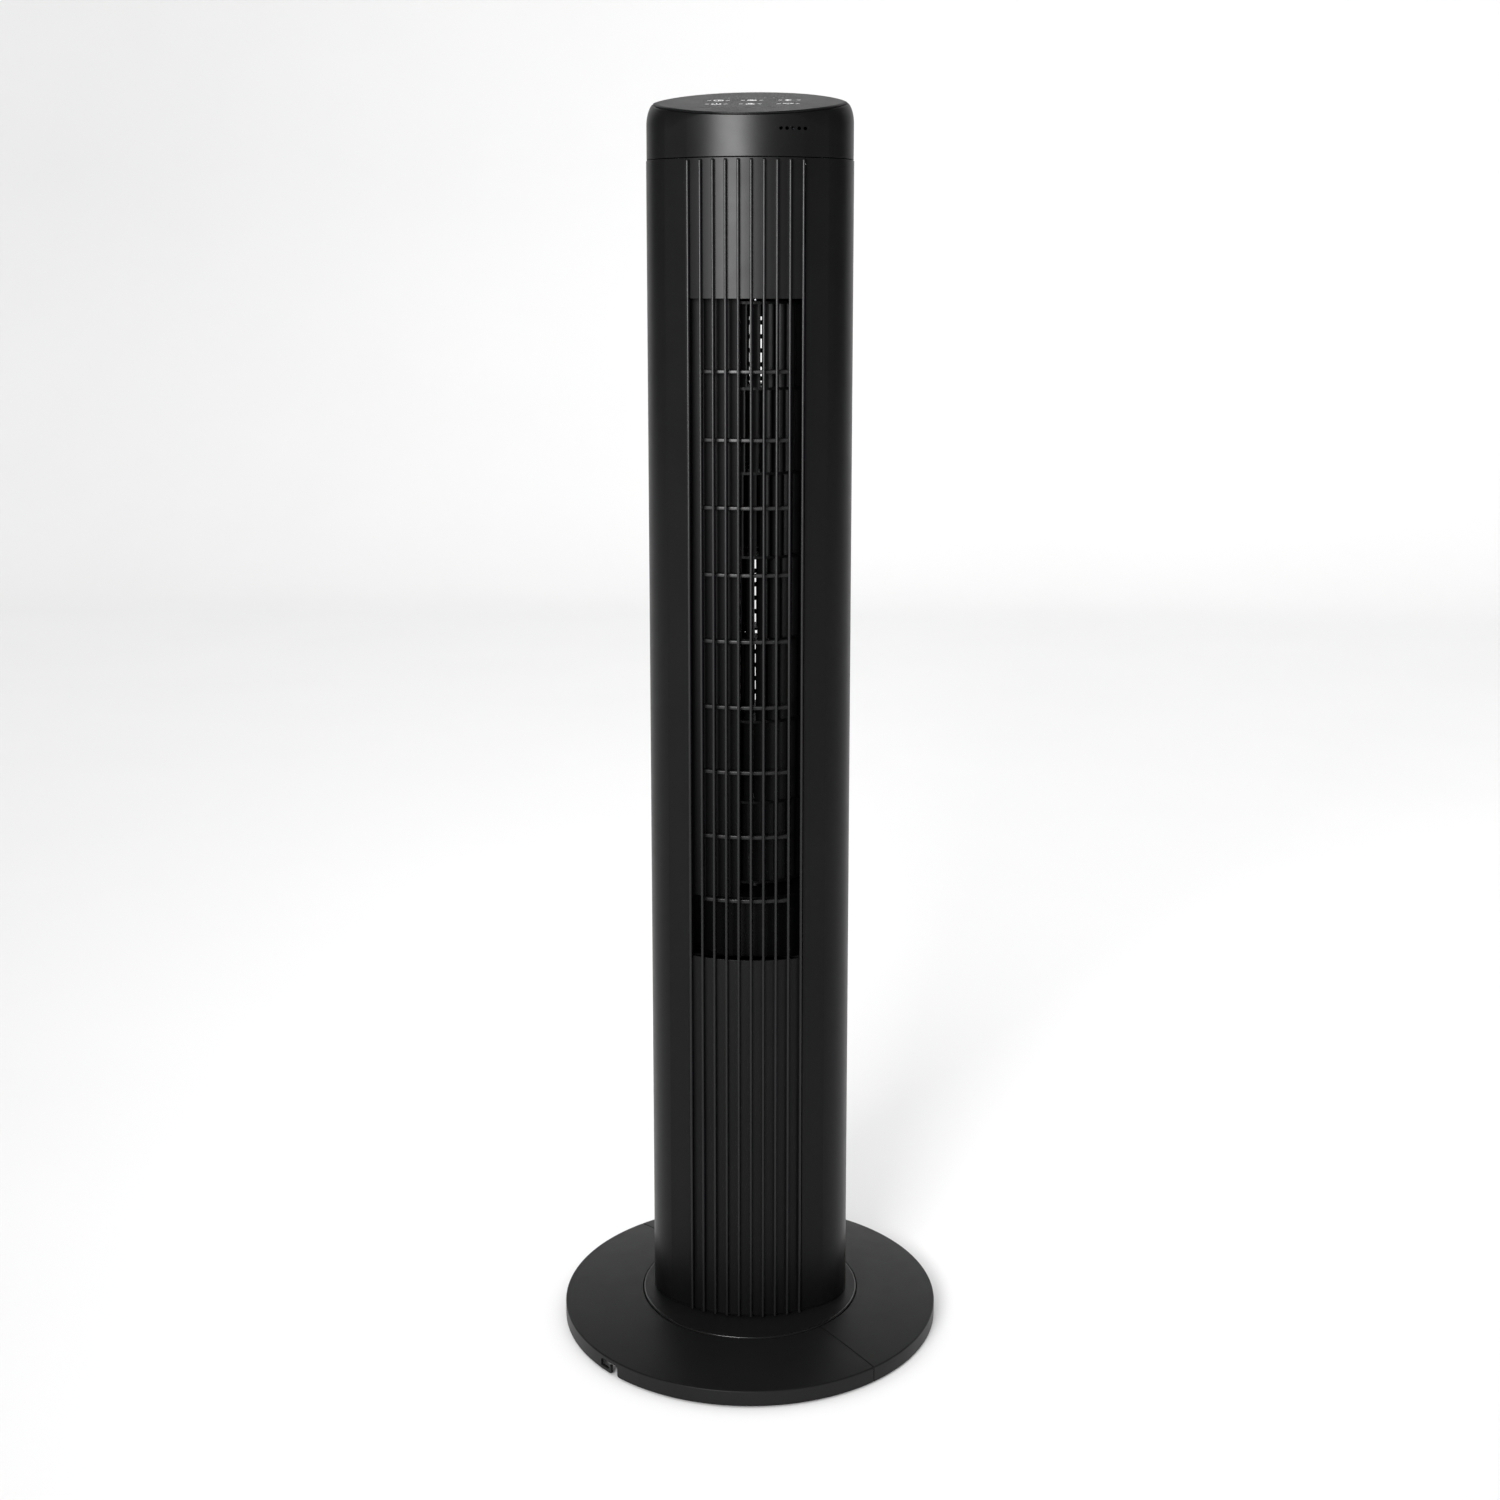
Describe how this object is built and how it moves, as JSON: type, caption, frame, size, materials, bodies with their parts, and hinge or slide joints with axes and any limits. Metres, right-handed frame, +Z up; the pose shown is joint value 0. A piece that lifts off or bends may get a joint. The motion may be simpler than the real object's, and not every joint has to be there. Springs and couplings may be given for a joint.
{
  "type": "tower fan",
  "caption": "Oscillating tower fan: charcoal column with full-height front fins, a sloping touch panel and a round two-part base.",
  "frame": {"origin": "on the floor, under the upright axis that the tower swings about", "axes": "+Z up, the air leaves towards -Y, +X is to the right of someone who stands in front and looks at the fan"},
  "size_m": [0.31, 0.31, 1.006],
  "materials": {
    "shell_plastic": "fine satin texture, charcoal black",
    "base_plastic": "fine satin texture, charcoal black",
    "front_plastic": "semi-gloss black",
    "fin_plastic": "semi-gloss black",
    "cap_plastic": "semi-gloss black",
    "panel_gloss": null,
    "wheel_plastic": "matt black",
    "duct_plastic": "matt black",
    "gear_plastic": "satin white",
    "rubber": "matt",
    "plated_steel": "zinc plated",
    "screw_steel": "plain",
    "stator_steel": "varnished laminations",
    "bearing_bronze": "sintered",
    "brass_spring": "bright",
    "circuit_board": "green solder mask",
    "electrical_plastic": "dark moulded"
  },
  "bodies": {
    "base": {"base_front_half": "base_plastic", "base_rear_half": "base_plastic", "rubber_feet": "rubber", "centre_plate": "plated_steel", "joining_screws": "screw_steel", "fixed_gear": "gear_plastic", "glide_ring": "gear_plastic"},
    "tower": {"turntable": "base_plastic", "tower_screws": "screw_steel", "pivot_retainer": "plated_steel", "cord_bushing": "rubber", "front_shell": "shell_plastic", "rear_shell": "shell_plastic", "shell_screws": "screw_steel", "rear_grille": "shell_plastic", "upper_front_panel": "front_plastic", "lower_front_panel": "front_plastic", "outlet_grille": "fin_plastic", "top_cap": "cap_plastic", "cap_screws": "screw_steel", "control_panel": "panel_gloss", "control_board": "circuit_board", "touch_pads": "brass_spring", "led_display": "electrical_plastic", "buzzer": "electrical_plastic", "remote_receiver": "electrical_plastic", "temperature_sensor": "electrical_plastic", "duct_floor": "duct_plastic", "duct_ceiling": "duct_plastic", "scroll_wall": "duct_plastic", "tongue_wall": "duct_plastic", "top_bearing": "bearing_bronze", "bearing_rubber": "rubber", "bearing_bracket": "plated_steel", "motor_can": "plated_steel", "motor_stator": "stator_steel", "motor_bearings": "bearing_bronze", "motor_bracket": "plated_steel", "rubber_isolators": "rubber", "swing_motor": "plated_steel", "inner_screws": "screw_steel", "power_board": "circuit_board", "motor_capacitor": "electrical_plastic", "transformer": "stator_steel", "relays": "electrical_plastic", "wire_bundle": "rubber"},
    "wheel": {"wheel_segment_1": "wheel_plastic", "wheel_segment_2": "wheel_plastic", "wheel_segment_3": "wheel_plastic", "wheel_segment_4": "wheel_plastic", "wheel_segment_5": "wheel_plastic", "wheel_segment_6": "wheel_plastic", "wheel_segment_7": "wheel_plastic", "wheel_end_disc": "wheel_plastic", "stub_shaft": "screw_steel", "wheel_hub": "wheel_plastic", "motor_shaft": "screw_steel", "motor_rotor": "stator_steel"},
    "swing_drive": {"swing_pinion": "gear_plastic", "pinion_shaft": "screw_steel"}
  },
  "joints": [
    {"name": "tower_swing", "type": "hinge", "parent": "base", "child": "tower", "pos_m": [0, 0, 0.018], "axis": [0, 0, 1], "range_deg": [-35, 35]},
    {"name": "wheel_spin", "type": "hinge", "parent": "tower", "child": "wheel", "pos_m": [0.004, 0.004, 0.6], "axis": [0, 0, 1], "continuous": true},
    {"name": "pinion_spin", "type": "hinge", "parent": "tower", "child": "swing_drive", "pos_m": [0, 0.03785, 0.014], "axis": [0, 0, 1], "range_deg": [-141, 141]}
  ],
  "couplings": [
    {"joint": "pinion_spin", "follows": "tower_swing", "ratio": 4}
  ]
}
